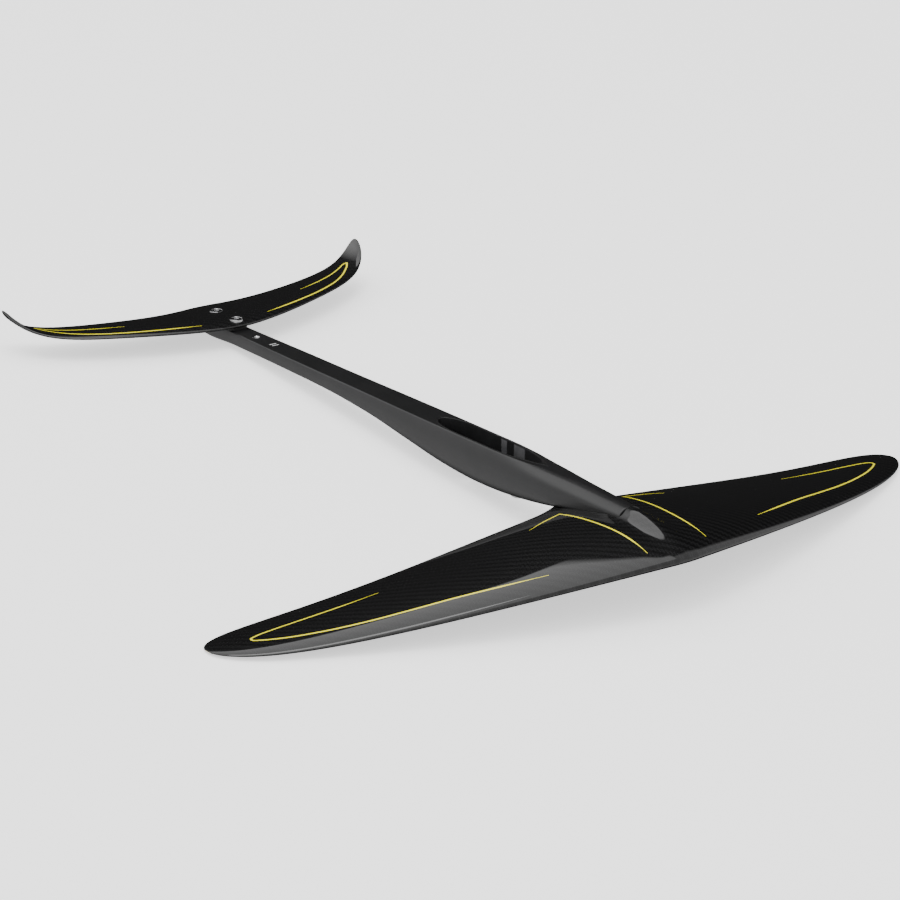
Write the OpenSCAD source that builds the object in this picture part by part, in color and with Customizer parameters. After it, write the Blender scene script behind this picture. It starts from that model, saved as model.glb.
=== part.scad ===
// Hydrofoil wing set: a swept front wing, a fuselage with a mast socket, and a rear stabiliser.
// X runs across the span, -Y points to the nose, +Z is up, and lengths are in millimetres.
// Profiles are written from the flat top of the fuselage and the rear tip of the mast socket;
// every piece is then shifted so that the origin is the middle of the two mast screw holes,
// on the floor of the socket.

/* [Front wing] */
// Tip to tip width of the front wing
wing_span = 770; // [760:1:780]
// Chord of the front wing at the centre
wing_chord = 162; // [158:1:166]
// Thickness of the front wing at the centre, as a share of its chord
wing_thickness = 0.142; // [0.135:0.001:0.15]
// Height of the curve of the wing's middle line, as a share of its chord
wing_camber = 0.02; // [0.015:0.001:0.025]
// Thickness of the laminate over the front wing's core
wing_skin = 2.4; // [2:0.1:2.8]
// Number of lofted sections on each side of the front wing
wing_steps = 18; // [14:1:22]

/* [Stabiliser] */
// Tip to tip width of the stabiliser
tail_span = 422; // [416:1:428]
// Chord of the stabiliser at the centre
tail_chord = 83; // [80:1:86]
// Thickness of the stabiliser, as a share of its chord
tail_thickness = 0.11; // [0.1:0.005:0.12]
// Thickness of the laminate over the stabiliser's core
tail_skin = 1.5; // [1.3:0.1:1.7]
// Number of lofted sections on each side of the stabiliser
tail_steps = 14; // [10:1:18]

/* [Fuselage] */
// Wall of the moulded fuselage around its cores
shell_wall = 2.4; // [2.2:0.1:2.6]
// Number of lofted sections between two stations of the fuselage
shell_steps = 3; // [2:1:4]

/* [Mast socket] */
// Length of the mast socket at the deck
socket_length = 158; // [156:1:160]
// Half width of the mast socket at its widest
socket_half_width = 12.6; // [12.2:0.1:12.8]
// Depth of the mast socket
socket_depth = 28; // [26:1:30]
// Wall of the liner of the mast socket
liner_wall = 0.9; // [0.8:0.1:1]
// Distance between the two mast screws
mast_screw_spacing = 80; // [76:1:84]
// Diameter of the clearance holes for the mast screws
mast_screw_hole = 8.5; // [8.4:0.1:9]

/* [Screws] */
// Nominal diameter of the wing and stabiliser screws
screw_d = 6; // [6:0.1:6]
// Diameter of a countersunk screw head
head_d = 11.2; // [11:0.1:11.4]
// Height of a countersunk screw head
head_h = 3.1; // [3:0.1:3.2]
// Diameter of the tapped hole of a threaded insert
tapped_d = 5; // [5:0.1:5]
// Outer diameter of a threaded insert
insert_d = 9; // [8.6:0.1:9.4]
// Length of a threaded insert
insert_h = 9.5; // [9:0.1:10]
// Length of a front wing screw
wing_screw_l = 20; // [20:1:20]
// Length of a stabiliser screw
tail_screw_l = 18; // [18:1:18]
// Outer diameter of the countersunk ferrule around a screw head
ferrule_d = 13.6; // [13:0.1:14]
// Height of a ferrule
ferrule_h = 3.8; // [3.6:0.1:4]

/* [Hidden] */
$fn = 48;

// Shared by both wings
chord_steps = 12;
core_from = 2;
core_to = 9;
tip_end = 0.9985;
root_block_step = 3;
least_core = 0.25;
gap = 0.1;
through = 1;

// Front wing, as powers of the share of the half span
half_wing = wing_span / 2;
wing_mid = [-269, 16.3, 70.7, 11.3, -27.5];
wing_half = [wing_chord / 2, -40.8, -33, 27.4, 0];
wing_height = [-27.5, -20.1, -46.3, 0, 29.8];
wing_tip_power = 10;
wing_thinning = 0.04;
root_crowding = 1.5;
root_flare = 8;
root_flare_reach = 22;
swell_height = 4.5;
swell_reach = 110;
swell_valley = 24;
swell_share = 1.7;
swell_power = 4;
swell_end_power = 5;
fairing_height = 9;
fairing_reach = 11;
fairing_length = 43;
nose_end_y = -270;

// Stabiliser, as powers of the share of the half span
half_tail = tail_span / 2;
tail_mid = [368.4, -18.9, 100.6, 0, -19.3];
tail_half = [tail_chord / 2, -39.2, 22.2, 0, 0];
tail_rise = [5.2, 0, 25.4, 0, -66.1];
tail_curl = 70.2;
tail_curl_power = 6;
tail_tuck = 0.098;
tail_tip_power = 6;
tail_camber = 0.002;
saddle_w = 19;
saddle_gap = 0.02;
saddle_from = 2;
saddle_to = 10;

// Seat of the fuselage's nose in the front wing: an inclined flat
seat_y = -187;
seat_z = -27;
seat_slope = 0.09;
seat_rear_y = -178;
seat_half_front = 12;
seat_half_rear = 16.8;
seat_overrun = 4;

// Screw positions along the fuselage
wing_screw_y = [-262, -240, -218];
tail_screw_y = [339.2, 375.4];
spare_screw_y = 303;
mast_screw_mid_y = -78.5;
wing_head_z = [-34.3, -32.8, -31.2];
tail_head_z = [9.9, 9.4];
wing_thread_l = 12.5;
tail_thread_l = 8.4;
insert_recess = 0.6;
hole_play = 0.6;
ferrule_play = 0.4;
drive_d = 4.6;
drive_depth = 0.6;
deep = 60;
wing_bore_top = 10;
seat_bore_h = 6;
deck_bore_h = 6;
ferrule_cut = 5;
tail_bore_h = 30;
tail_cut_h = 10;

// Fuselage stations: y, deck half width, flank half width, deck z, flank z, belly z,
// and how boxy the belly is. Ahead of the seat's rear end the belly lies on the seat.
stations = [[404, 8.6, 9.6, -0.6, -5, -10.6, 5], [392, 10, 11, 0, -6, -12.8, 6],
    [325, 10.7, 11.7, 0, -6, -13.3, 7], [240, 12.2, 13.4, 0, -6.5, -13.6, 6],
    [130, 13.2, 15.1, 0, -8.5, -17.2, 5], [86, 13.9, 16, 0, -10, -21.8, 4],
    [36, 14.5, 17.3, 0, -13.5, -30.2, 3], [-14, 14.8, 18.3, 0, -16, -38.2, 2.6],
    [-63, 14.8, 18.7, 0, -17, -42.2, 2.4], [-110, 14.2, 18.5, 0, -16.5, -41, 2.4],
    [-133, 12.4, 18.1, -0.1, -16, -38.7, 2.5], [-155, 8.8, 17.7, -0.4, -15, -35.5, 2.8],
    [-177, 5.5, 16.9, -1, -14, -31.5, 3.4], [-178, 5.4, 16.8, -1, -14, -29, 8],
    [-200, 3, 15.5, -1.8, -13.5, -26, 8], [-235, 1, 13.7, -3.2, -13, -23, 8],
    [-270, 0.5, 12, -5, -12.5, -20, 8]];
least_deck = 0.4;
boom_front = 22;
boom_rear = 286;
tail_block_rear = 398;
nose_block_front = -267;
nose_block_rear = -184;

// Mast socket
socket_round = 0.22;
socket_taper = 0.55;
taper_power = 2.2;
outline_steps = 24;
plate_h = 5;
plate_w = 17;
plate_overhang = 9;
floor_h = 2;
mast_ferrule_d = 16;
mast_ferrule_h = 2.4;
mast_ferrule_z = -40.2;
pad_t = 0.5;
pad_top = 1.5;
pad_foot = 1;
pad_y = [[-79, 8], [-102, 17]];

carbon = [0.06, 0.06, 0.065];
satin = [0.2, 0.2, 0.21];
foam = [0.85, 0.8, 0.62];
laminate = [0.12, 0.12, 0.13];
steel = [0.75, 0.75, 0.77];
plastic = [0.1, 0.1, 0.1];

// ---- Shared functions ----
function power_sum(c, s) = c[0] + s * (c[1] + s * (c[2] + s * (c[3] + s * c[4])));
function profile(x) = 5 * (0.2969 * sqrt(x) - 0.126 * x - 0.3516 * x * x
    + 0.2843 * pow(x, 3) - 0.1036 * pow(x, 4));
function chord_at(i) = 0.5 * (1 - cos(180 * i / chord_steps));
function bell(x, reach) = exp(-pow(x / reach, 2));
function seat_at(y) = seat_z + seat_slope * (seat_y - y);

// ---- Front wing surface: s is the share of the half span, x of the chord, and side is
// 1 on the upper surface, -1 on the lower surface, and less than 1 inside ----
function flare(s) = root_flare * bell(half_wing * s, root_flare_reach);
function wing_half_at(s) = power_sum(wing_half, s) * sqrt(1 - pow(s, wing_tip_power));
function wing_chord_at(s) = 2 * wing_half_at(s) + flare(s);
function wing_t(s) = wing_thickness - wing_thinning * s;
function swell(x, share) = swell_height * (1 - exp(-pow(x / swell_valley, swell_power)))
    * exp(-pow(x / swell_reach, swell_power)) * swell_share * share
    * (1 - pow(share, swell_end_power));
function fairing(x, y) = fairing_height * bell(x, fairing_reach)
    * bell(y - nose_end_y, fairing_length);
function wing_point(u, x, side) =
    let (s = abs(u), c = wing_chord_at(s))
    let (y = power_sum(wing_mid, s) - wing_half_at(s) + x * c)
    let (z = power_sum(wing_height, s)
        + c * (4 * wing_camber * x * (1 - x) + side * wing_t(s) * profile(x)))
    [half_wing * u, y, side == 1 ? z + fairing(half_wing * u, y) + swell(half_wing * u, x) : z];
function wing_core_share(s) =
    max(least_core, 1 - wing_skin / (0.5 * wing_t(s) * wing_chord_at(s)));
function wing_share(i) = tip_end * sign(i) * pow(abs(i) / wing_steps, root_crowding);

// ---- Stabiliser surface, with the tips curled up ----
function tail_x(s) = half_tail * (s - tail_tuck * pow(s, tail_curl_power)) / (1 - tail_tuck);
function tail_z(s) = power_sum(tail_rise, s) + tail_curl * pow(s, tail_curl_power);
function tail_chord_at(s) = 2 * power_sum(tail_half, s) * sqrt(1 - pow(s, tail_tip_power));
function tail_point(u, x, side) =
    let (s = abs(u), c = tail_chord_at(s), d = 0.002)
    let (run = tail_x(s + d) - tail_x(s), climb = tail_z(s + d) - tail_z(s))
    let (n = norm([run, climb]))
    let (t = c * (side * tail_thickness * profile(x) + 4 * tail_camber * x * (1 - x)))
    [(u < 0 ? -1 : 1) * (tail_x(s) - t * climb / n * (s == 0 ? 0 : 1)),
        power_sum(tail_mid, s) + (x - 0.5) * c, tail_z(s) + t * run / n];
function tail_core_share(s) =
    max(least_core, 1 - tail_skin / (0.5 * tail_thickness * tail_chord_at(s)));
function tail_share(i) = tip_end * i / tail_steps;

// ---- Rings of the two wings ----
function wing_skin_ring(u, side) = let (q = side * wing_core_share(abs(u)))
    [for (i = [0:chord_steps]) wing_point(u, chord_at(i), side),
        for (i = [chord_steps - 1:-1:core_to]) wing_point(u, chord_at(i), 0),
        for (i = [core_to:-1:core_from]) wing_point(u, chord_at(i), q),
        for (i = [core_from:-1:1]) wing_point(u, chord_at(i), 0)];
function wing_core_ring(u) = let (q = wing_core_share(abs(u)))
    [for (i = [core_from:core_to]) wing_point(u, chord_at(i), q),
        for (i = [core_to:-1:core_from]) wing_point(u, chord_at(i), -q)];
function tail_skin_ring(u, side) = let (q = side * tail_core_share(abs(u)))
    [for (i = [0:chord_steps]) tail_point(u, chord_at(i), side),
        for (i = [chord_steps - 1:-1:core_to]) tail_point(u, chord_at(i), 0),
        for (i = [core_to:-1:core_from]) tail_point(u, chord_at(i), q),
        for (i = [core_from:-1:1]) tail_point(u, chord_at(i), 0)];
function tail_core_ring(u) = let (q = tail_core_share(abs(u)))
    [for (i = [core_from:core_to]) tail_point(u, chord_at(i), q),
        for (i = [core_to:-1:core_from]) tail_point(u, chord_at(i), -q)];

// ---- Fuselage sections ----
function curve(a, b, c, d, t) = b + 0.5 * t * (c - a
    + t * (2 * a - 5 * b + 4 * c - d + t * (3 * (b - c) + d - a)));
function at_station(i) = stations[max(0, min(len(stations) - 1, i))];
function between(i, t, k) =
    let (a = at_station(i - 1)[k], b = at_station(i)[k], c = at_station(i + 1)[k])
    let (d = at_station(i + 2)[k])
    k == 0 ? b + (c - b) * t : curve(a, b, c, d, t);
function station_row(i, t) = [for (k = [0:6]) between(i, t, k)];
function belly_at(row) = row[0] <= seat_rear_y ? seat_at(row[0]) : row[5];
function half_ring(row, belly, inset) =
    let (deck_w = max(least_deck, row[1] - inset), flank_w = row[2] - inset)
    let (top = row[3] - inset, flank_z = row[4], low = belly + inset, n = 2 / row[6])
    concat([[deck_w, top]],
        [for (a = [65, 40, 18, 0])
            [deck_w + (flank_w - deck_w) * cos(a), flank_z + (top - flank_z) * sin(a)]],
        [for (a = [15:15:90])
            [flank_w * pow(cos(a), n), flank_z - (flank_z - low) * pow(sin(a), n)]]);
function full_ring(y, half) = concat([for (p = half) [p[0], y, p[1]]],
    [for (i = [len(half) - 2:-1:0]) [-half[i][0], y, half[i][1]]]);
function shell_rings(inset, from_y, to_y) =
    [for (i = [0:len(stations) - 2], j = [0:shell_steps - 1])
        let (row = station_row(i, j / shell_steps))
        if (row[0] <= from_y && row[0] >= to_y)
            full_ring(row[0], half_ring(row, belly_at(row), inset))];
function end_ring(inset) = let (row = at_station(len(stations) - 1))
    full_ring(row[0], half_ring(row, belly_at(row), inset));

// ---- Mast socket outline: a blunt rear end, parallel middle and pointed front ----
function socket_half(u) = u < socket_round ? sqrt(1 - pow(1 - u / socket_round, 2))
    : u < socket_taper ? 1 : 1 - pow((u - socket_taper) / (1 - socket_taper), taper_power);
function socket_outline(grow) =
    let (w = socket_half_width + grow, l = socket_length + 2 * grow, n = outline_steps)
    let (us = [for (i = [0:n]) 0.5 * (1 - cos(180 * i / n))])
    concat([for (u = us) [w * socket_half(u), grow - l * u]],
        [for (i = [n - 1:-1:1]) [-w * socket_half(us[i]), grow - l * us[i]]]);

// ---- Shared modules ----
module placed() { translate([0, -mast_screw_mid_y, socket_depth]) children(); }

// A closed solid through a row of rings with the same number of points. turned reverses
// the rings, for those whose points run the other way round
module loft(rings, turned = false) {
    n = len(rings[0]);
    m = len(rings);
    order = turned ? [n - 1:-1:0] : [0:n - 1];
    sides = [for (i = [0:m - 2], j = [0:n - 1]) let (k = (j + 1) % n)
        each [[i * n + j, i * n + k, (i + 1) * n + k], [i * n + j, (i + 1) * n + k,
            (i + 1) * n + j]]];
    first = [for (j = [n - 1:-1:0]) j];
    last = [for (j = [0:n - 1]) (m - 1) * n + j];
    polyhedron([for (r = rings, j = order) r[j]], concat([first, last], sides), convexity = 6);
}

module bore(y, z, d, h) { translate([0, y, z]) cylinder(d = d, h = h); }

module socket_prism(grow, from_z, to_z) {
    translate([0, 0, from_z]) linear_extrude(to_z - from_z) polygon(socket_outline(grow));
}

// The space that the fuselage's nose takes in the top of the front wing
module nose_seat() {
    w_front = seat_half_front + gap;
    w_rear = seat_half_rear + gap;
    front = nose_end_y - gap;
    rear = seat_rear_y + seat_overrun;
    low_front = seat_at(front);
    low_rear = seat_at(rear);
    points = [[-w_front, front, low_front], [w_front, front, low_front],
        [w_rear, rear, low_rear], [-w_rear, rear, low_rear],
        [-w_front, front, through], [w_front, front, through],
        [w_rear, rear, through], [-w_rear, rear, through]];
    polyhedron(points, [[0, 1, 2, 3], [7, 6, 5, 4], [0, 4, 5, 1], [1, 5, 6, 2],
        [2, 6, 7, 3], [3, 7, 4, 0]]);
}

module countersunk_screw(length, core_length) {
    difference() {
        union() {
            translate([0, 0, -head_h]) cylinder(d1 = screw_d, d2 = head_d, h = head_h);
            translate([0, 0, core_length - length]) cylinder(d = screw_d,
                h = length - core_length - head_h / 2);
            translate([0, 0, -length]) cylinder(d = tapped_d - gap, h = core_length + gap);
        }
        translate([0, 0, -head_h * drive_depth]) cylinder(d = drive_d, h = head_h, $fn = 6);
    }
}

module ferrule() {
    translate([0, 0, -ferrule_h]) difference() {
        cylinder(d = ferrule_d, h = ferrule_h);
        translate([0, 0, -through]) cylinder(d = screw_d + ferrule_play, h = ferrule_h + 2 * through);
        translate([0, 0, ferrule_h - head_h - gap]) cylinder(d1 = screw_d + ferrule_play,
            d2 = head_d + ferrule_play, h = head_h + gap);
        translate([0, 0, ferrule_h]) cylinder(d = head_d + ferrule_play, h = through);
    }
}

module insert() {
    difference() {
        cylinder(d = insert_d, h = insert_h);
        translate([0, 0, -through]) cylinder(d = tapped_d, h = insert_h + 2 * through);
    }
}

// ---- Front wing ----
module wing_skin_loft(side) {
    loft([for (i = [-wing_steps:wing_steps]) wing_skin_ring(wing_share(i), side)], side < 0);
}

module wing_holes(d) {
    for (y = wing_screw_y) bore(y, -deep, d, deep + wing_bore_top);
}

module front_wing_upper_skin() {
    color(carbon) placed() difference() {
        wing_skin_loft(1);
        nose_seat();
        wing_holes(screw_d + hole_play);
    }
}

module front_wing_lower_skin() {
    color(carbon) placed() difference() {
        wing_skin_loft(-1);
        wing_holes(screw_d + hole_play);
        for (i = [0:2]) bore(wing_screw_y[i], wing_head_z[i] - ferrule_cut, ferrule_d,
            ferrule_h + ferrule_cut);
    }
}

module wing_core(from_step, to_step) {
    loft([for (i = [from_step:to_step]) wing_core_ring(wing_share(i))]);
}

module front_wing_left_core() {
    color(foam) placed() wing_core(-wing_steps, -root_block_step);
}

module front_wing_right_core() {
    color(foam) placed() wing_core(root_block_step, wing_steps);
}

module front_wing_root_block() {
    color(laminate) placed() difference() {
        wing_core(-root_block_step, root_block_step);
        nose_seat();
        wing_holes(screw_d + hole_play);
        for (i = [0:2]) bore(wing_screw_y[i], wing_head_z[i] - ferrule_cut, ferrule_d,
            ferrule_h + ferrule_cut);
    }
}

module front_wing_screw_ferrules() {
    color(steel) placed() for (i = [0:2]) translate([0, wing_screw_y[i], wing_head_z[i]])
        mirror([0, 0, 1]) ferrule();
}

module front_wing_screws() {
    color(steel) placed() for (i = [0:2]) translate([0, wing_screw_y[i], wing_head_z[i]])
        mirror([0, 0, 1]) countersunk_screw(wing_screw_l, wing_thread_l);
}

module front_wing_inserts() {
    color(steel) placed() for (y = wing_screw_y) translate([0, y, seat_at(y) + insert_recess])
        insert();
}

// ---- Fuselage ----
module fuselage_shell() {
    color(satin) placed() difference() {
        loft(concat(shell_rings(0, stations[0][0], nose_end_y), [end_ring(0)]));
        loft(shell_rings(shell_wall, tail_block_rear, boom_front));
        loft(shell_rings(shell_wall, nose_block_rear, nose_block_front));
        socket_prism(liner_wall, -socket_depth - floor_h, through);
        translate([-plate_w / 2, mast_screw_mid_y - mast_screw_spacing / 2 - plate_overhang,
            -socket_depth - floor_h - plate_h])
            cube([plate_w, mast_screw_spacing + 2 * plate_overhang, plate_h + through]);
        for (y = wing_screw_y) bore(y, -deep, insert_d, deep + seat_at(y) + seat_bore_h);
        for (y = concat(tail_screw_y, [spare_screw_y])) bore(y, -deck_bore_h, insert_d,
            deck_bore_h + through);
        for (s = [-1, 1]) {
            y = mast_screw_mid_y + s * mast_screw_spacing / 2;
            bore(y, -deep, mast_screw_hole, deep);
            bore(y, -deep, mast_ferrule_d, deep + mast_ferrule_z + mast_ferrule_h);
        }
    }
}

module fuselage_nose_block() {
    color(laminate) placed() difference() {
        loft(shell_rings(shell_wall, nose_block_rear, nose_block_front));
        for (i = [0:2]) let (y = wing_screw_y[i])
            bore(y, -deep, insert_d, deep + max(seat_at(y) + insert_recess + insert_h,
                wing_head_z[i] + wing_screw_l + gap));
    }
}

module fuselage_boom_core() {
    color(foam) placed() loft(shell_rings(shell_wall, boom_rear, boom_front));
}

module fuselage_tail_block() {
    color(laminate) placed() difference() {
        loft(shell_rings(shell_wall, tail_block_rear, boom_rear));
        for (y = concat(tail_screw_y, [spare_screw_y]))
            bore(y, -insert_h, insert_d, insert_h + through);
    }
}

module mast_socket_liner() {
    color(plastic) placed() difference() {
        socket_prism(liner_wall, -socket_depth - floor_h, 0);
        socket_prism(0, -socket_depth, through);
        pad_strips();
        for (s = [-1, 1]) bore(mast_screw_mid_y + s * mast_screw_spacing / 2,
            -socket_depth - 2 * floor_h, mast_screw_hole, 3 * floor_h);
    }
}

// The pads lie in shallow recesses, flush with the wall of the liner
module pad_strips() {
    intersection() {
        difference() {
            socket_prism(pad_t, pad_foot - socket_depth, -pad_top);
            socket_prism(0, -socket_depth - through, through);
        }
        for (p = pad_y) translate([-plate_w, p[0] - p[1] / 2, -socket_depth - through])
            cube([2 * plate_w, p[1], socket_depth + 2 * through]);
    }
}

module mast_socket_pads() {
    color(plastic) placed() pad_strips();
}

module mast_screw_plate() {
    color(steel) placed() difference() {
        translate([-plate_w / 2, mast_screw_mid_y - mast_screw_spacing / 2 - plate_overhang,
            -socket_depth - floor_h - plate_h])
            cube([plate_w, mast_screw_spacing + 2 * plate_overhang, plate_h]);
        for (s = [-1, 1]) bore(mast_screw_mid_y + s * mast_screw_spacing / 2,
            -deep, mast_screw_hole, deep);
    }
}

module mast_screw_ferrules() {
    color(steel) placed() for (s = [-1, 1])
        translate([0, mast_screw_mid_y + s * mast_screw_spacing / 2, mast_ferrule_z])
        difference() {
            cylinder(d = mast_ferrule_d, h = mast_ferrule_h);
            translate([0, 0, -through])
                cylinder(d = mast_screw_hole, h = mast_ferrule_h + 2 * through);
        }
}

// ---- Stabiliser ----
module tail_holes() {
    for (i = [0, 1]) {
        bore(tail_screw_y[i], -ferrule_cut, screw_d + hole_play, tail_bore_h);
        bore(tail_screw_y[i], tail_head_z[i] - ferrule_h, ferrule_d, tail_cut_h);
    }
}

module tail_skin_loft(side) {
    loft([for (i = [-tail_steps:tail_steps]) tail_skin_ring(tail_share(i), side)], side < 0);
}

module tail_core(from_step, to_step) {
    loft([for (i = [from_step:to_step]) tail_core_ring(tail_share(i))]);
}

module stabiliser_upper_skin() {
    color(carbon) placed() difference() {
        tail_skin_loft(1);
        tail_holes();
    }
}

module stabiliser_lower_skin() {
    color(carbon) placed() difference() {
        tail_skin_loft(-1);
        tail_holes();
    }
}

module stabiliser_left_core() {
    color(foam) placed() tail_core(-tail_steps, -1);
}

module stabiliser_right_core() {
    color(foam) placed() tail_core(1, tail_steps);
}

module stabiliser_root_block() {
    color(laminate) placed() difference() {
        tail_core(-1, 1);
        tail_holes();
    }
}

// Wedge that fills the gap between the flat deck and the curved underside
module stabiliser_saddle() {
    top = [for (i = [saddle_from:saddle_to]) let (p = tail_point(0, chord_at(i), -1))
        [p[1], p[2] - saddle_gap]];
    color(plastic) placed() difference() {
        translate([-saddle_w / 2, 0, 0]) rotate([90, 0, 90]) linear_extrude(saddle_w)
            polygon(concat(top, [[top[len(top) - 1][0], 0], [top[0][0], 0]]));
        tail_holes();
    }
}

module stabiliser_screw_ferrules() {
    color(steel) placed() for (i = [0, 1])
        translate([0, tail_screw_y[i], tail_head_z[i]]) ferrule();
}

module stabiliser_screws() {
    color(steel) placed() for (i = [0, 1])
        translate([0, tail_screw_y[i], tail_head_z[i]]) countersunk_screw(tail_screw_l, tail_thread_l);
}

module stabiliser_inserts() {
    color(steel) placed() for (y = tail_screw_y) translate([0, y, -insert_h]) insert();
}

module spare_stabiliser_insert() {
    color(steel) placed() translate([0, spare_screw_y, -insert_h]) insert();
}

front_wing_upper_skin();
front_wing_lower_skin();
front_wing_left_core();
front_wing_right_core();
front_wing_root_block();
front_wing_screw_ferrules();
front_wing_screws();
front_wing_inserts();
fuselage_shell();
fuselage_nose_block();
fuselage_boom_core();
fuselage_tail_block();
mast_socket_liner();
mast_socket_pads();
mast_screw_plate();
mast_screw_ferrules();
stabiliser_upper_skin();
stabiliser_lower_skin();
stabiliser_left_core();
stabiliser_right_core();
stabiliser_root_block();
stabiliser_saddle();
stabiliser_screw_ferrules();
stabiliser_screws();
stabiliser_inserts();
spare_stabiliser_insert();
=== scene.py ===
"""Looks for a hydrofoil wing set: front wing, fuselage with its mast socket, and stabiliser.

Shapes are worked out in millimetres from the flat top of the fuselage and the rear tip of
the mast socket, as in the CAD part, and to_frame() puts them in the frame, in metres."""

import math

import bmesh
import bpy
import numpy as np
from mathutils import Euler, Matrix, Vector

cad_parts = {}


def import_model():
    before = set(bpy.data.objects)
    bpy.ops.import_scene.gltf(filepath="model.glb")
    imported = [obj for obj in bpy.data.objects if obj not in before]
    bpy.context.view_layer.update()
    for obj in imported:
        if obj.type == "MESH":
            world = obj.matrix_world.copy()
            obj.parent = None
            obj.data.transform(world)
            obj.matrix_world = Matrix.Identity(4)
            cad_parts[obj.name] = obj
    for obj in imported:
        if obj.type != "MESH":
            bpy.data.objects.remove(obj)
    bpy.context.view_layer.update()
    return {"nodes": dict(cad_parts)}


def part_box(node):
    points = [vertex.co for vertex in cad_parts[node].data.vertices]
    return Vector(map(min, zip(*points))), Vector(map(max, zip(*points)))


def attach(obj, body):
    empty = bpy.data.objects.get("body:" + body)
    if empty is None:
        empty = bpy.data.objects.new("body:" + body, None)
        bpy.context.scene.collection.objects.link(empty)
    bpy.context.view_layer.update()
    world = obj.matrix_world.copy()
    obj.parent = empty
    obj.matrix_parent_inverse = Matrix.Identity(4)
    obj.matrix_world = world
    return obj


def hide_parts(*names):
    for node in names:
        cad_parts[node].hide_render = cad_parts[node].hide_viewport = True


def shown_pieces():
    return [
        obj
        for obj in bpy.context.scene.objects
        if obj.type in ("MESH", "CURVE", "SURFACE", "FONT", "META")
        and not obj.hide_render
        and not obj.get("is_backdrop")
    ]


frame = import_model()

MM = 0.001
LINER_WALL = 0.9
SOCKET_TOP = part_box("mast_socket_liner")[1]
SHIFT = np.array([0, SOCKET_TOP.y / MM - LINER_WALL, SOCKET_TOP.z / MM])
BODY = "root"

# Front wing, as powers of the share of the half span
HALF_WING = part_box("front_wing_upper_skin")[1].x / MM
WING_MID = (-269, 16.3, 70.7, 11.3, -27.5)
WING_HALF = (81, -40.8, -33, 27.4)
WING_HEIGHT = (-27.5, -20.1, -46.3, 0, 29.8)
WING_TIP_POWER = 10
WING_THICKNESS = 0.142
WING_THINNING = 0.04
WING_CAMBER = 0.02
ROOT_FLARE = 8
ROOT_FLARE_REACH = 22
SWELL_HEIGHT = 4.5
SWELL_REACH = 110
SWELL_VALLEY = 24
SWELL_SCALE = 1.7
SWELL_FALL = 5
FLAT_BELL = 4
FAIRING_HEIGHT = 9
FAIRING_REACH = 11
FAIRING_LENGTH = 43
NOSE_END = -270

# Stabiliser, as powers of the share of the half span
HALF_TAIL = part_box("stabiliser_upper_skin")[1].x / MM
TAIL_MID = (368.4, -18.9, 100.6, 0, -19.3)
TAIL_HALF = (41.5, -39.2, 22.2)
TAIL_RISE = (5.2, 0, 25.4, 0, -66.1, 0, 70.2)
TAIL_TUCK = 0.098
TAIL_TIP_POWER = 6
TAIL_THICKNESS = 0.11
TAIL_CAMBER = 0.002

# Both wings: half the thickness of the trailing edge, and how finely they are drawn
EDGE = 0.35
WING_BLEND = 0.045
TAIL_BLEND = 0.1
TIP_END = 0.9999
ROOT_SHARE = 0.13
ROOT_ROWS = 26
TIP_ROWS = 90
CHORD_STEPS = 56

# Fuselage stations: y, deck half width, flank half width, deck z, flank z, belly z, boxiness
STATIONS = np.array([
    [404, 8.6, 9.6, -0.6, -5, -10.6, 5], [392, 10, 11, 0, -6, -12.8, 6],
    [325, 10.7, 11.7, 0, -6, -13.3, 7], [240, 12.2, 13.4, 0, -6.5, -13.6, 6],
    [130, 13.2, 15.1, 0, -8.5, -17.2, 5], [86, 13.9, 16, 0, -10, -21.8, 4],
    [36, 14.5, 17.3, 0, -13.5, -30.2, 3], [-14, 14.8, 18.3, 0, -16, -38.2, 2.6],
    [-63, 14.8, 18.7, 0, -17, -42.2, 2.4], [-110, 14.2, 18.5, 0, -16.5, -41, 2.4],
    [-133, 12.4, 18.1, -0.1, -16, -38.7, 2.5], [-155, 8.8, 17.7, -0.4, -15, -35.5, 2.8],
    [-177, 5.5, 16.9, -1, -14, -31.5, 3.4], [-200, 3, 15.5, -1.8, -13.5, -26, 8],
    [-235, 1, 13.7, -3.2, -13, -23, 8], [-270, 0.5, 12, -5, -12.5, -20, 8]])
SEAT_Y = -187
SEAT_Z = -27
SEAT_SLOPE = 0.09
SEAT_REAR = -177.5
SEAT_BOXINESS = 8
DECK_EDGE = 0.7
ROUND_NOSE = -175
CREASED_DECK = -115
TAIL_ROUNDING = 3
NOSE_ROUNDING = 0.4
SEAM = 0.5
BODY_PITCH = 2.4
SEAT_ROWS = 44
TAIL_ROWS = 7
NOSE_ROWS = 4

# Mast socket and screws
SOCKET_LENGTH = 158
SOCKET_HALF_WIDTH = 12.6
SOCKET_DEPTH = 28
SOCKET_FLOOR = 2
SOCKET_REAR_SHARE = 0.22
SOCKET_FRONT_SHARE = 0.45
SOCKET_FRONT_POWER = 2.2
SOCKET_STEPS = 81
PADS = ((-79, 8), (-102, 17))  # y of the middle, length
PAD_DEPTH = 0.5
PAD_TOP = 1.5
RIB_PITCH = 2.1
MAST_SCREWS_Y = (-118.5, -38.5)
MAST_SCREW_HOLE = 8.5
MAST_FERRULE = (16, 2.4, -40.2)  # diameter, height, z of the lower end
WING_SCREWS = ((-262, -34.3), (-240, -32.8), (-218, -31.2))  # y, z of the head
TAIL_SCREWS = ((339.2, 9.9), (375.4, 9.4))
WING_SCREW_LENGTH = 20
TAIL_SCREW_LENGTH = 18
SPARE_INSERT_Y = 303
FERRULE_D = 13.6
FERRULE_H = 3.8
SCREW_D = 6
HEAD_D = 11.2
HEX_HALF = 2
INSERT_D = 9
INSERT_H = 9.5
TAPPED_D = 5
TURNED_STEPS = 72

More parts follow.
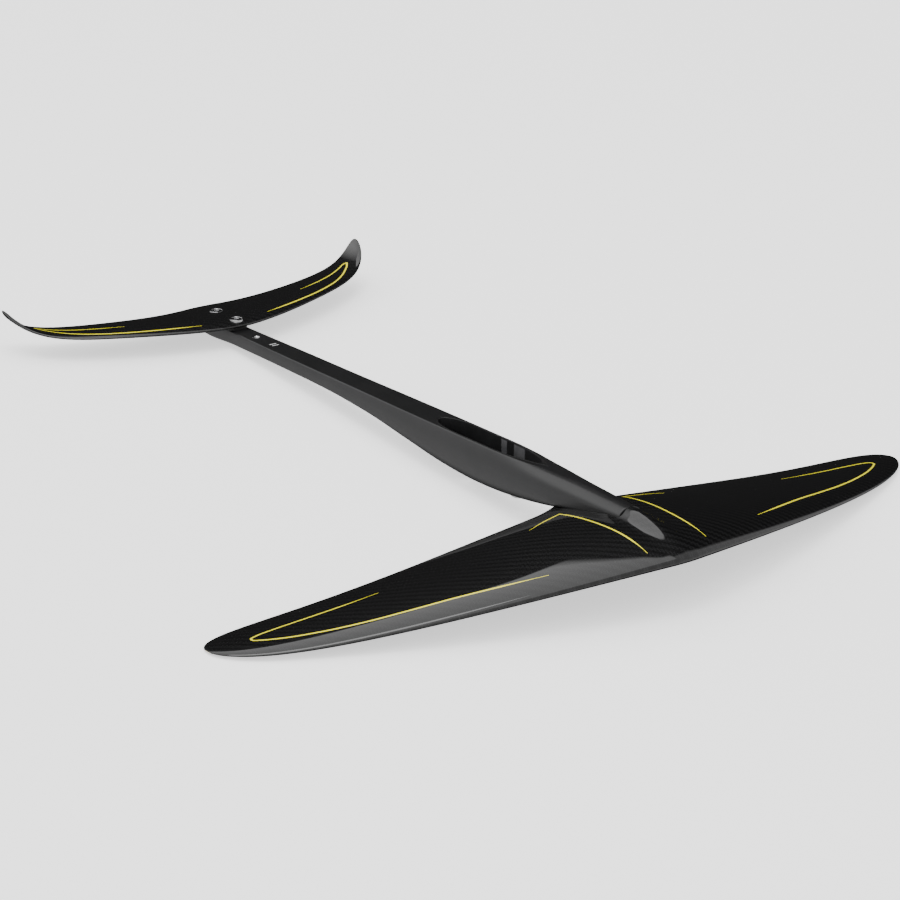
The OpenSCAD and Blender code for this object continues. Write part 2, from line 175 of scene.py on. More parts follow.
# Cutting tools, which run on past the surfaces they cut
DRILL_STEPS = 96
POCKET_OVERRUN = 6
POCKET_END = 2
POCKET_ROWS = 40
DRILL_OVERRUN = 8
ABOVE_DECK = 3
BELOW_BELLY = -60

# Saddle and ribs of the pads
SADDLE_HALF = 9.5
SADDLE_ROWS = 17
SADDLE_STEPS = 41
SADDLE_CORNER = 4
SADDLE_CHORD = 83
SADDLE_SHARES = (0.05, 0.93)
SADDLE_GAP = 0.02
SADDLE_EDGE = 0.3
SADDLE_SINK = 0.1
PAD_PROUD = 0.05
RIB_HEIGHT = 0.35
RIB_STEPS_PER_MM = 5
PAD_BEVEL = (0.15, 0.3)
PAD_LIFT = 0.02


# ---- Shared functions ----
def to_frame(points):
    return (np.asarray(points, float) + SHIFT) * MM


def powers(factors, s):
    return sum(k * s ** i for i, k in enumerate(factors))


def profile(x):
    return 5 * (0.2969 * np.sqrt(x) - 0.126 * x - 0.3516 * x ** 2
                + 0.2843 * x ** 3 - 0.1036 * x ** 4)


def bell(x, reach, power=2):
    return np.exp(-np.abs(x / reach) ** power)


def hermite(at, value, where):
    """A smooth curve through values at rising places."""
    slope = np.gradient(value, at, axis=0)
    i = np.clip(np.searchsorted(at, where) - 1, 0, len(at) - 2)
    gap = at[i + 1] - at[i]
    t = (where - at[i]) / gap
    return (value[i] * (1 - t) ** 2 * (1 + 2 * t) + value[i + 1] * t * t * (3 - 2 * t)
            + gap * (slope[i] * t * (1 - t) ** 2 - slope[i + 1] * t * t * (1 - t)))


def build(name, rows, caps=True, ring_of_rows=False, centre=None):
    """A closed skin through rings of points. With a centre, the rings are about that point."""
    rows = np.asarray(rows, float)
    count, n = rows.shape[:2]
    faces = []
    for i in range(count - 1 + ring_of_rows):
        a, b = i * n, (i + 1) % count * n
        faces += [(a + j, a + (j + 1) % n, b + (j + 1) % n, b + j) for j in range(n)]
    if caps:
        faces += [tuple(range(n)), tuple(range((count - 1) * n, count * n))]
    points = rows.reshape(-1, 3)
    mesh = bpy.data.meshes.new(name)
    mesh.from_pydata((to_frame(points) if centre is None else points * MM).tolist(), [], faces)
    tidy = bmesh.new()
    tidy.from_mesh(mesh)
    bmesh.ops.remove_doubles(tidy, verts=tidy.verts, dist=1e-7)
    bmesh.ops.recalc_face_normals(tidy, faces=tidy.faces)
    tidy.to_mesh(mesh)
    tidy.free()
    piece = bpy.data.objects.new(name, mesh)
    bpy.context.scene.collection.objects.link(piece)
    if centre is not None:
        piece.location = to_frame(centre)
    return piece


def cut(piece, cutter):
    """Takes the cutter's space out of the piece, and removes the cutter."""
    modifier = piece.modifiers.new("cut", "BOOLEAN")
    modifier.operation = "DIFFERENCE"
    modifier.solver = "EXACT"
    modifier.object = cutter
    bpy.context.view_layer.update()
    depsgraph = bpy.context.evaluated_depsgraph_get()
    mesh = bpy.data.meshes.new_from_object(piece.evaluated_get(depsgraph))
    piece.modifiers.clear()
    piece.data = mesh
    bpy.data.objects.remove(cutter)


def hand_in(piece, material, replaces=(), sharp=32):
    """Shades, paints and mounts a finished piece."""
    piece.data.materials.clear()
    piece.data.materials.append(material)
    piece.data.shade_smooth()
    piece.data.set_sharp_from_angle(angle=math.radians(sharp))
    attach(piece, BODY)
    if replaces:
        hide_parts(*replaces)


def circle(radius, z, count=TURNED_STEPS, hexagon=0, centre=(0, 0)):
    """A ring about a point, between a circle and a hexagon."""
    angle = np.linspace(0, 2 * math.pi, count, endpoint=False)
    turned = np.mod(angle, math.pi / 3) - math.pi / 6
    size = radius * (1 - hexagon + hexagon / np.cos(turned))
    return np.stack([centre[0] + size * np.cos(angle), centre[1] + size * np.sin(angle),
                     np.full(count, z)], -1)


def drill(y, low, high, diameter):
    rows = [circle(diameter / 2, z, DRILL_STEPS, centre=(0, y)) for z in (low, high)]
    return build("drill", rows)


# ---- Materials ----
SOCKETS = {"metal": "Metallic", "ior": "IOR", "specular": "Specular IOR Level",
           "coat": "Coat Weight", "coat_rough": "Coat Roughness", "coat_ior": "Coat IOR"}
WING_TOW = 0.0025
BLOCK_TOW = 0.003


class Paint:
    """A Principled material with short calls for its nodes."""

    def __init__(self, name, **constants):
        self.material = bpy.data.materials.new(name)
        self.material.use_nodes = True
        self.tree = self.material.node_tree
        self.shader = self.tree.nodes["Principled BSDF"]
        for key, value in constants.items():
            self.shader.inputs[SOCKETS[key]].default_value = value
        self.place = self.tree.nodes.new("ShaderNodeTexCoord").outputs["Object"]

    def feed(self, socket, value):
        if isinstance(value, bpy.types.NodeSocket):
            self.tree.links.new(value, socket)
        else:
            socket.default_value = value

    def math(self, operation, *values):
        node = self.tree.nodes.new("ShaderNodeMath")
        node.operation = operation
        for socket, value in zip(node.inputs, values):
            self.feed(socket, value)
        return node.outputs[0]

    def axes(self):
        node = self.tree.nodes.new("ShaderNodeSeparateXYZ")
        self.feed(node.inputs[0], self.place)
        return node.outputs

    def stretched(self, x, y, z):
        node = self.tree.nodes.new("ShaderNodeMapping")
        node.inputs["Scale"].default_value = (x, y, z)
        self.feed(node.inputs["Vector"], self.place)
        return node.outputs[0]

    def noise(self, scale, detail, source=None):
        node = self.tree.nodes.new("ShaderNodeTexNoise")
        node.inputs["Scale"].default_value = scale
        node.inputs["Detail"].default_value = detail
        self.feed(node.inputs["Vector"], source or self.place)
        return node.outputs["Fac"]

    def cells(self, scale):
        node = self.tree.nodes.new("ShaderNodeTexVoronoi")
        node.inputs["Scale"].default_value = scale
        self.feed(node.inputs["Vector"], self.place)
        return node.outputs["Distance"]

    def blend(self, share, low, high):
        node = self.tree.nodes.new("ShaderNodeMix")
        self.feed(node.inputs["Factor"], share)
        self.feed(node.inputs["A"], low)
        self.feed(node.inputs["B"], high)
        return node.outputs[0]

    def spread(self, value, low, high):
        node = self.tree.nodes.new("ShaderNodeMapRange")
        self.feed(node.inputs["Value"], value)
        node.inputs["To Min"].default_value = low
        node.inputs["To Max"].default_value = high
        return node.outputs[0]

    def tones(self, value, *stops):
        node = self.tree.nodes.new("ShaderNodeValToRGB")
        ramp = node.color_ramp
        ramp.elements[0].position, ramp.elements[0].color = stops[0][0], (*stops[0][1], 1)
        ramp.elements[1].position, ramp.elements[1].color = stops[-1][0], (*stops[-1][1], 1)
        for position, colour in stops[1:-1]:
            ramp.elements.new(position).color = (*colour, 1)
        self.feed(node.inputs[0], value)
        return node.outputs["Color"]

    def colour(self, value):
        self.feed(self.shader.inputs["Base Color"], value)

    def roughness(self, value):
        self.feed(self.shader.inputs["Roughness"], value)

    def relief(self, height, strength, distance):
        node = self.tree.nodes.new("ShaderNodeBump")
        node.inputs["Strength"].default_value = strength
        node.inputs["Distance"].default_value = distance
        self.feed(node.inputs["Height"], height)
        self.feed(self.shader.inputs["Normal"], node.outputs[0])


def woven(paint, tow):
    """A two by two twill: which tow is on top, and how high it stands."""
    x, y, _ = paint.axes()
    across, along = paint.math("DIVIDE", x, tow), paint.math("DIVIDE", y, tow)
    step = paint.math("ADD", paint.math("FLOOR", across), paint.math("FLOOR", along))
    warp = paint.math("LESS_THAN", paint.math("FLOORED_MODULO", step, 4), 2)
    arch = paint.blend(warp, paint.math("PINGPONG", along, 0.5),
                       paint.math("PINGPONG", across, 0.5))
    fibres = paint.blend(warp, paint.noise(1, 2, paint.stretched(300, 6000, 300)),
                         paint.noise(1, 2, paint.stretched(6000, 300, 300)))
    return warp, arch, fibres


def carbon_paint():
    paint = Paint("carbon_clear_coat", ior=1.5, specular=0.1, coat=1.0, coat_rough=0.025,
                  coat_ior=1.5)
    warp, arch, fibres = woven(paint, WING_TOW)
    shade = paint.math("ADD", paint.math("MULTIPLY", warp, 0.45),
                       paint.math("MULTIPLY", arch, 0.5))
    shade = paint.math("ADD", shade, paint.math("MULTIPLY", fibres, 0.35))
    paint.colour(paint.tones(shade, (0.15, (0.0006, 0.0006, 0.0007)),
                             (0.55, (0.002, 0.002, 0.0021)),
                             (1.0, (0.0085, 0.0085, 0.009))))
    paint.roughness(paint.spread(shade, 0.42, 0.58))
    paint.relief(shade, 0.25, 0.00012)
    return paint.material


def satin_paint():
    paint = Paint("satin_graphite", ior=1.5)
    mottle = paint.noise(26, 4)
    paint.colour(paint.tones(mottle, (0.3, (0.006, 0.006, 0.0064)),
                             (0.7, (0.009, 0.0088, 0.0093))))
    paint.roughness(paint.spread(paint.noise(140, 5), 0.3, 0.4))
    paint.relief(paint.noise(2600, 3), 0.1, 0.00006)
    return paint.material


def plastic_paint():
    paint = Paint("moulded_plastic", ior=1.46)
    paint.colour(paint.tones(paint.noise(60, 4), (0.3, (0.003, 0.003, 0.0033)),
                             (0.75, (0.007, 0.007, 0.0075))))
    paint.roughness(paint.spread(paint.noise(300, 4), 0.42, 0.6))
    paint.relief(paint.noise(1500, 3), 0.2, 0.0001)
    return paint.material


def pad_paint():
    paint = Paint("socket_pad_rubber", ior=1.45)
    paint.colour(paint.tones(paint.noise(90, 4), (0.3, (0.03, 0.03, 0.032)),
                             (0.75, (0.06, 0.06, 0.063))))
    paint.roughness(paint.spread(paint.noise(400, 4), 0.5, 0.7))
    paint.relief(paint.noise(1800, 3), 0.25, 0.0001)
    return paint.material


def steel_paint(name, turned):
    """Stainless steel, turned about the piece's own axis or ground along one direction."""
    paint = Paint(name, metal=1.0)
    x, y, _ = paint.axes()
    radius = paint.math("SQRT", paint.math("ADD", paint.math("MULTIPLY", x, x),
                                           paint.math("MULTIPLY", y, y)))
    lines = (paint.noise(1, 2, paint.stretched(9000, 150, 9000)) if not turned else
             paint.math("FRACT", paint.math("MULTIPLY", radius, 7000)))
    grain = paint.math("ADD", paint.math("MULTIPLY", lines, 0.4),
                       paint.math("MULTIPLY", paint.noise(900, 4), 0.6))
    paint.colour(paint.tones(grain, (0.2, (0.4, 0.4, 0.41)), (0.8, (0.6, 0.6, 0.6))))
    paint.roughness(paint.spread(grain, 0.1, 0.24))
    paint.relief(grain, 0.08, 0.00003)
    return paint.material


def stripe_paint(name, low, high):
    paint = Paint(name, ior=1.5, coat=1.0, coat_rough=0.025)
    paint.colour(paint.tones(paint.noise(500, 4), (0.3, low), (0.75, high)))
    paint.roughness(paint.spread(paint.noise(900, 3), 0.3, 0.45))
    paint.relief(paint.noise(2500, 2), 0.08, 0.00003)
    return paint.material


def foam_paint():
    paint = Paint("closed_cell_foam")
    cell = paint.cells(1100)
    paint.colour(paint.tones(cell, (0.1, (0.5, 0.44, 0.27)), (0.6, (0.72, 0.66, 0.46))))
    paint.roughness(paint.spread(cell, 0.75, 0.95))
    paint.relief(cell, 0.5, 0.0004)
    return paint.material


def laminate_paint():
    paint = Paint("solid_laminate")
    warp, arch, fibres = woven(paint, BLOCK_TOW)
    shade = paint.math("ADD", paint.math("MULTIPLY", warp, 0.4),
                       paint.math("MULTIPLY", fibres, 0.6))
    paint.colour(paint.tones(shade, (0.2, (0.01, 0.01, 0.011)), (0.9, (0.04, 0.04, 0.042))))
    paint.roughness(paint.spread(fibres, 0.5, 0.7))
    paint.relief(arch, 0.3, 0.0002)
    return paint.material


CARBON = carbon_paint()
SATIN = satin_paint()
PLASTIC = plastic_paint()
PAD = pad_paint()
TURNED = steel_paint("stainless_turned", True)
GROUND = steel_paint("stainless_ground", False)
YELLOW = stripe_paint("pinstripe_yellow", (0.90, 0.80, 0.02), (1.0, 0.90, 0.05))
WHITE = stripe_paint("mark_white", (0.6, 0.6, 0.6), (0.72, 0.72, 0.72))
FOAM = foam_paint()
LAMINATE = laminate_paint()


# ---- Surfaces of the two wings: u is the signed share of the half span, x of the chord ----
def from_root(u, blend):
    """The share of the half span, rounded off at the middle so that both halves blend."""
    s = np.abs(u)
    return np.where(s < blend, 0.5 * (blend + s * s / blend), s)


def wing_surface(u, x, side):
    s = from_root(u, WING_BLEND)
    tip = np.sqrt(1 - s ** WING_TIP_POWER)
    half = powers(WING_HALF, s) * tip
    chord = 2 * half + ROOT_FLARE * bell(HALF_WING * u, ROOT_FLARE_REACH)
    y = powers(WING_MID, s) - half + x * chord
    thick = chord * (WING_THICKNESS - WING_THINNING * s) * profile(x) + EDGE * tip * x
    z = powers(WING_HEIGHT, s) + chord * 4 * WING_CAMBER * x * (1 - x) + side * thick
    fairing = FAIRING_HEIGHT * bell(HALF_WING * u, FAIRING_REACH)
    swell = SWELL_HEIGHT * (1 - bell(HALF_WING * u, SWELL_VALLEY, FLAT_BELL))
    swell = swell * bell(HALF_WING * u, SWELL_REACH, FLAT_BELL)
    swell = swell * SWELL_SCALE * x * (1 - x ** SWELL_FALL)
    z = z + (side > 0) * (fairing * bell(y - NOSE_END, FAIRING_LENGTH) + swell)
    return np.stack([HALF_WING * u + 0 * x, y, z], -1)


def tail_surface(u, x, side):
    s = np.abs(u)
    d = 0.002  # small step for the slope of the span line
    out = [HALF_TAIL * (v - TAIL_TUCK * v ** TAIL_TIP_POWER) / (1 - TAIL_TUCK)
           for v in (s, s + d)]
    up = [powers(TAIL_RISE, v) for v in (s, s + d)]
    run, climb = out[1] - out[0], up[1] - up[0]
    n = np.hypot(run, climb)
    s = from_root(u, TAIL_BLEND)
    tip = np.sqrt(1 - s ** TAIL_TIP_POWER)
    chord = 2 * powers(TAIL_HALF, s) * tip
    t = chord * (side * TAIL_THICKNESS * profile(x) + 4 * TAIL_CAMBER * x * (1 - x))
    t = t + side * EDGE * tip * x
    return np.stack([np.sign(u) * (out[0] - t * climb / n),
                     powers(TAIL_MID, s) + (x - 0.5) * chord, up[0] + t * run / n], -1)


def wing_rows(surface):
    root = np.linspace(0, ROOT_SHARE, ROOT_ROWS, endpoint=False)
    tip = ROOT_SHARE + (TIP_END - ROOT_SHARE) * (1 - np.linspace(1, 0, TIP_ROWS) ** 2)
    share = np.concatenate([root, tip])
    u = np.concatenate([-share[:0:-1], share])[:, None]
    x = 0.5 * (1 - np.cos(np.linspace(0, math.pi, CHORD_STEPS + 1)))[None, :]
    return np.concatenate([surface(u, x[:, ::-1], 1), surface(u, x[:, 1:], -1)], 1)


# ---- Fuselage sections ----
def along(y, column, rows=STATIONS):
    """A smooth curve through one column of the stations."""
    order = np.argsort(rows[:, 0])
    return hermite(rows[order, 0], rows[order, column], y)


def seat(y):
    return SEAT_Z + SEAT_SLOPE * (SEAT_Y - y)


def flank(y, share):
    """How far the upper flank stands out: creased at the deck, and round at the nose."""
    t = min(max((y - ROUND_NOSE) / (CREASED_DECK - ROUND_NOSE), 0), 1)
    crease = t * t * (3 - 2 * t)
    return crease * (1 - share ** 2) + (1 - crease) * math.sqrt(max(1 - share ** 2, 0))


def fuselage_ring(y, grow=0.0, at=None, on_seat=None):
    """The section at y, grown outwards, and placed at another y if given."""
    on_seat = y < SEAT_REAR if on_seat is None else on_seat
    behind = STATIONS[STATIONS[:, 0] > SEAT_REAR]
    deck_w = max(0.3, along(y, 1) + grow)
    flank_w, flank_z = along(y, 2) + grow, along(y, 4)
    top = along(y, 3) + grow
    low = (seat(y) if on_seat else along(y, 5, behind)) - grow
    box = SEAT_BOXINESS if on_seat else along(y, 6, behind)
    height = top - flank_z
    edge = min(DECK_EDGE, 0.8 * deck_w)
    half = [(x, top) for x in np.linspace(0, deck_w - edge, 5)]
    out = flank_w - deck_w
    corner = out * flank(y, 1 - edge / height)
    for t in (0.25, 0.5, 0.75):
        half.append((deck_w - edge * (1 - t) ** 2 + corner * t * t, top - edge * t * t))
    for share in np.sin(np.linspace(math.asin(1 - edge / height), 0, 15)):
        half.append((deck_w + out * flank(y, share), flank_z + height * share))
    for angle in np.linspace(0, math.pi / 2, 33)[1:]:
        c, s = max(math.cos(angle), 0), math.sin(angle)
        r = (c ** box + s ** box) ** (-1 / box)
        half.append((flank_w * r * c, flank_z - (flank_z - low) * r * s))
    ring = half + [(-x, z) for x, z in half[-2:0:-1]]
    return [(x, y if at is None else at, z) for x, z in ring]


def fuselage_rows():
    rows = []
    rear = STATIONS[0][0] - TAIL_ROUNDING
    front = NOSE_END + NOSE_ROUNDING
    for angle in np.linspace(math.pi / 2, 0, TAIL_ROWS)[:-1]:
        rows.append(fuselage_ring(rear, -TAIL_ROUNDING * (1 - math.cos(angle)),
                                  rear + TAIL_ROUNDING * math.sin(angle)))
    behind = np.linspace(rear, SEAT_REAR, int((rear - SEAT_REAR) / BODY_PITCH))
    rows += [fuselage_ring(y, on_seat=False) for y in behind]
    rows += [fuselage_ring(y, on_seat=True) for y in np.linspace(SEAT_REAR, front, SEAT_ROWS)]
    for angle in np.linspace(0, math.pi / 2, NOSE_ROWS)[1:]:
        rows.append(fuselage_ring(front, -NOSE_ROUNDING * (1 - math.cos(angle)),
                                  front - NOSE_ROUNDING * math.sin(angle), True))
    return rows


# ---- Mast socket ----
def socket_half(share):
    """The half width at a share of the length: round at the rear, pointed at the front."""
    rear = np.sqrt(np.clip(1 - (1 - share / SOCKET_REAR_SHARE) ** 2, 0, 1))
    taper = np.clip((share - 1 + SOCKET_FRONT_SHARE) / SOCKET_FRONT_SHARE, 0, 1)
    return np.where(share < SOCKET_REAR_SHARE, rear, 1 - taper ** SOCKET_FRONT_POWER)


def socket_ring(grow, z):
    share = 0.5 * (1 - np.cos(np.linspace(0, math.pi, SOCKET_STEPS)))
    wide = (SOCKET_HALF_WIDTH + grow) * socket_half(share)
    y = grow - (SOCKET_LENGTH + 2 * grow) * share
    ring = np.stack([wide, y, np.full(SOCKET_STEPS, float(z))], -1)
    back = ring[-2:0:-1] * (-1, 1, 1)
    return np.concatenate([ring, back])


# ---- Pieces ----
def front_wing():
    wing = build("front_wing", wing_rows(wing_surface))
    rear, front = SEAT_REAR + POCKET_OVERRUN, NOSE_END + POCKET_END
    pocket = [fuselage_ring(y, SEAM, on_seat=True)
              for y in np.linspace(rear, front, POCKET_ROWS)]
    pocket.append(fuselage_ring(front, SEAM, NOSE_END - SEAM, True))
    cut(wing, build("pocket", pocket))
    for y, head in WING_SCREWS:
        cut(wing, drill(y, head - DRILL_OVERRUN, head + FERRULE_H, FERRULE_D))
    hand_in(wing, CARBON, ("front_wing_upper_skin", "front_wing_lower_skin"))


def fuselage():
    shell = build("fuselage", fuselage_rows())
    cut(shell, build("socket", [socket_ring(LINER_WALL, z) for z in
                                (-SOCKET_DEPTH - SOCKET_FLOOR, ABOVE_DECK)]))
    width, height, low = MAST_FERRULE
    for y in MAST_SCREWS_Y:
        cut(shell, drill(y, BELOW_BELLY, -SOCKET_DEPTH, MAST_SCREW_HOLE))
        cut(shell, drill(y, BELOW_BELLY, low + height, width))
    cut(shell, drill(SPARE_INSERT_Y, -INSERT_H, ABOVE_DECK, INSERT_D))
    hand_in(shell, SATIN, ("fuselage_shell",))


def stabiliser():
    tail = build("stabiliser", wing_rows(tail_surface))
    for y, head in TAIL_SCREWS:
        cut(tail, drill(y, head - FERRULE_H, head + DRILL_OVERRUN, FERRULE_D))
    hand_in(tail, CARBON, ("stabiliser_upper_skin", "stabiliser_lower_skin"))


def saddle():
    """The wedge between the flat deck and the curved underside of the stabiliser."""
    rows = []
    front, rear = SADDLE_SHARES
    for x in np.linspace(-SADDLE_HALF, SADDLE_HALF, SADDLE_ROWS):
        round_off = SADDLE_CORNER * (abs(x) / SADDLE_HALF) ** 4 / SADDLE_CHORD
        share = np.linspace(front + round_off, rear - round_off, SADDLE_STEPS)
        top = tail_surface(np.full(SADDLE_STEPS, x / HALF_TAIL), share, -1) - (0, 0, SADDLE_GAP)
        top[:, 2] = np.maximum(top[:, 2], SADDLE_EDGE)
        rows.append(np.concatenate([top, top[::-1] * (1, 1, 0) - (0, 0, SADDLE_SINK)]))
    wedge = build("stabiliser_wedge", rows)
    hand_in(wedge, PLASTIC, ("stabiliser_saddle",))


def socket():
    lip = 0.25
    floor = -SOCKET_DEPTH - SOCKET_FLOOR
    rings = ((LINER_WALL, floor), (LINER_WALL, -lip), (LINER_WALL - lip, 0), (lip, 0),
             (0, -lip), (0, -SOCKET_DEPTH))
    liner = build("mast_socket_lining", [socket_ring(grow, z) for grow, z in rings])
    for y in MAST_SCREWS_Y:
        cut(liner, drill(y, floor - 2, -SOCKET_DEPTH + 2, MAST_SCREW_HOLE))
    hand_in(liner, PLASTIC, ("mast_socket_liner",))
    for number, (middle, length) in enumerate(PADS):
        for side, word in ((1, "right"), (-1, "left")):
            pad(f"mast_socket_pad_{word}_{number + 1}", side, middle, length)


def pad(name, side, middle, length):
    """A ribbed grip pad on the wall of the socket."""
    rows = []
    low, high = -SOCKET_DEPTH + PAD_LIFT, -PAD_TOP
    inward, down = PAD_BEVEL
    count = int(length * RIB_STEPS_PER_MM)
    for y in np.linspace(middle - length / 2, middle + length / 2, count):
        inner = SOCKET_HALF_WIDTH * float(socket_half(np.array(-y / SOCKET_LENGTH)))
        wall = inner + PAD_DEPTH
        rib = 0.5 - 0.5 * math.cos(2 * math.pi * (y - middle) / RIB_PITCH)
        inner -= PAD_PROUD + RIB_HEIGHT * rib
        rows.append([(side * wall, y, low), (side * wall, y, high),
                     (side * (inner + inward), y, high), (side * inner, y, high - down),
                     (side * inner, y, low)])
    hand_in(build(name, rows), PAD, ("mast_socket_pads",))


def screw_rings(length):
    """Radius, height and boxiness of each ring: hexagon drive, head, shank and thread."""
    rings = [(0.4, -2.35, 0), (HEX_HALF, -2.1, 1), (HEX_HALF, -0.3, 1), (HEX_HALF + 0.25, 0, 0.5),
             (4.7, 0, 0), (5.3, -0.06, 0), (5.55, -0.22, 0), (HEAD_D / 2, -0.4, 0),
             (3.15, -2.85, 0), (SCREW_D / 2, -3.2, 0), (SCREW_D / 2, -7.4, 0)]
    turn = -7.6
    while turn > -length + 1:
        rings += [(TAPPED_D / 2 - 0.1, turn, 0), (TAPPED_D / 2 + 0.02, turn - 0.5, 0)]
        turn -= 1
    return rings + [(1.9, -length, 0)]


def ferrule_rings():
    """Radius, height and boxiness, from the outer wall over the rim to the cone and bore."""
    outer, inner = FERRULE_D / 2, HEAD_D / 2 + 0.2
    return [(outer, -FERRULE_H, 0), (outer, -0.3, 0), (outer - 0.12, -0.06, 0),
            (outer - 0.35, 0, 0), (inner + 0.15, 0, 0), (inner, -0.15, 0),
            (inner, -0.35, 0), (3.2, -3, 0), (3.2, -FERRULE_H, 0)]


def insert_rings():
    """Radius, height and boxiness, from the outer wall over the rim to the thread."""
    rings = [(INSERT_D / 2, -INSERT_H, 0), (INSERT_D / 2, -0.2, 0), (INSERT_D / 2 - 0.2, 0, 0),
             (TAPPED_D / 2 + 0.55, 0, 0), (TAPPED_D / 2, -0.55, 0)]
    for turn in np.arange(-1, -INSERT_H + 0.5, -1):
        rings += [(TAPPED_D / 2 + 0.3, turn, 0), (TAPPED_D / 2, turn - 0.5, 0)]
    return rings + [(TAPPED_D / 2, -INSERT_H, 0)]


def turned_piece(name, rings, centre, replaces, hollow, upside_down=False):
    rows = [circle(r, z, hexagon=hexagon) for r, z, hexagon in rings]
    piece = build(name, rows, caps=not hollow, ring_of_rows=hollow, centre=centre)
    if upside_down:
        piece.rotation_euler = (math.pi, 0, 0)
    hand_in(piece, TURNED, (replaces,))


def fasteners():
    for number, (y, head) in enumerate(TAIL_SCREWS, 1):
        turned_piece(f"stabiliser_screw_{number}", screw_rings(TAIL_SCREW_LENGTH), (0, y, head),
                     "stabiliser_screws", False)
        turned_piece(f"stabiliser_ferrule_{number}", ferrule_rings(), (0, y, head),
                     "stabiliser_screw_ferrules", True)
    for number, (y, head) in enumerate(WING_SCREWS, 1):
        turned_piece(f"front_wing_screw_{number}", screw_rings(WING_SCREW_LENGTH), (0, y, head),
                     "front_wing_screws", False, True)
        turned_piece(f"front_wing_ferrule_{number}", ferrule_rings(), (0, y, head),
                     "front_wing_screw_ferrules", True, True)
    turned_piece("spare_insert", insert_rings(), (0, SPARE_INSERT_Y, 0),
                 "spare_stabiliser_insert", True)
    width, height, low = MAST_FERRULE
    r = width / 2
    rings = [(r, 0, 0), (r, height - 0.2, 0), (r - 0.2, height, 0), (5.2, height, 0),
             (MAST_SCREW_HOLE / 2, height - 0.9, 0), (MAST_SCREW_HOLE / 2, 0, 0)]
    for number, y in enumerate(MAST_SCREWS_Y, 1):
        turned_piece(f"mast_screw_ferrule_{number}", rings, (0, y, low + height),
                     "mast_screw_ferrules", True, True)


# ---- Pinstripes and marks ----
def smooth(points):
    """A curve through a few points, divided evenly."""
    points = np.array(points, float)
    at = np.concatenate([[0], np.cumsum(np.hypot(*np.diff(points, axis=0).T))])
    where = np.linspace(0, at[-1], max(STRIPE_LEAST, int(at[-1] / STRIPE_PITCH)))
    return np.stack([hermite(at, points[:, k], where) for k in (0, 1)], 1)


def on_surface(surface, plan):
    """The point above each plan point on the upper side, and the surface's normal there."""
    span = HALF_WING if surface is wing_surface else HALF_TAIL
    u, x = plan[:, 0] / span, np.full(len(plan), 0.5)
    d = 1e-4  # small step for the slopes
    for _ in range(12):
        here = surface(u, x, 1)
        du = (surface(u + d, x, 1) - here) / d
        dx = (surface(u, x + d, 1) - here) / d
        miss = plan - here[:, :2]
        area = du[:, 0] * dx[:, 1] - du[:, 1] * dx[:, 0]
        u = np.clip(u + (miss[:, 0] * dx[:, 1] - miss[:, 1] * dx[:, 0]) / area, -0.995, 0.995)
        x = np.clip(x + (du[:, 0] * miss[:, 1] - du[:, 1] * miss[:, 0]) / area, 0.002, 0.99)
    normal = np.cross(du, dx)
    return here, normal / np.linalg.norm(normal, axis=1)[:, None]


def on_deck(_, plan):
    """Like on_surface(), for the flat top of the fuselage."""
    return (np.column_stack([plan, np.zeros(len(plan))]),
            np.tile((0.0, 0.0, 1.0), (len(plan), 1)))


def ribbon(name, place, surface, plan, width, taper, material):
    """A thin raised line of paint that follows a surface."""
    step = np.diff(plan, axis=0)
    length = np.hypot(step[:, 0], step[:, 1])
    way = step / length[:, None]
    before, after = np.vstack([way[:1], way]), np.vstack([way, way[-1:]])
    mean = before + after
    mean /= np.linalg.norm(mean, axis=1)[:, None]
    across = np.stack([-mean[:, 1], mean[:, 0]], 1) / np.sum(mean * after, 1)[:, None]
    walked = np.concatenate([[0], np.cumsum(length)])
    to_end = np.minimum(walked, walked[-1] - walked)
    half = width / 2 * np.clip(to_end / taper, STRIPE_END_SHARE, 1)[:, None]
    sides = [place(surface, plan + across * half * k) for k in (-1, 0, 1)]
    rows = [sides[k][0] + sides[k][1] * height for k, height in STRIPE_SECTION]
    hand_in(build(name, np.stack(rows, 1)), material, sharp=60)


V_FRONT = ((32.4, -332), (32.1, -318), (32.1, -290), (33.4, -265), (34.6, -240), (35.6, -218.5))
V_REAR = ((35.6, -218.5), (55, -222), (75.4, -227.5))
WING_LOOP = ((116, -305), (157, -289.7), (194, -276), (229, -264.5), (266, -252), (300, -238.6),
             (330, -224), (343, -215.4), (348, -210.8), (347.6, -207.4), (342, -205.6),
             (325, -205.2), (300, -207.2), (263, -211.8), (226, -216.2))
TAIL_LOOP = ((39, 341.5), (82, 351.5), (121, 364.8), (155, 383), (176, 400.5), (185, 410.5),
             (187, 414.2), (184.6, 415), (176, 411), (160, 402), (130, 388.5), (105, 380))
STRIPE_WIDTH = 1.75
STRIPE_PITCH = 2.5
STRIPE_LEAST = 12
STRIPE_END_SHARE = 0.25
STRIPE_SECTION = ((0, -0.12), (0, 0.07), (1, 0.1), (2, 0.07), (2, -0.12))  # side, height
STRIPE_TAPERS = {"root": 22, "tip": 40, "tail": 25}
DECK_MARKS_Y = (270, 274.5)
DECK_MARK_HALF = 4.2
DECK_MARK_WIDTH = 1.5
DECK_MARK_TAPER = 0.6


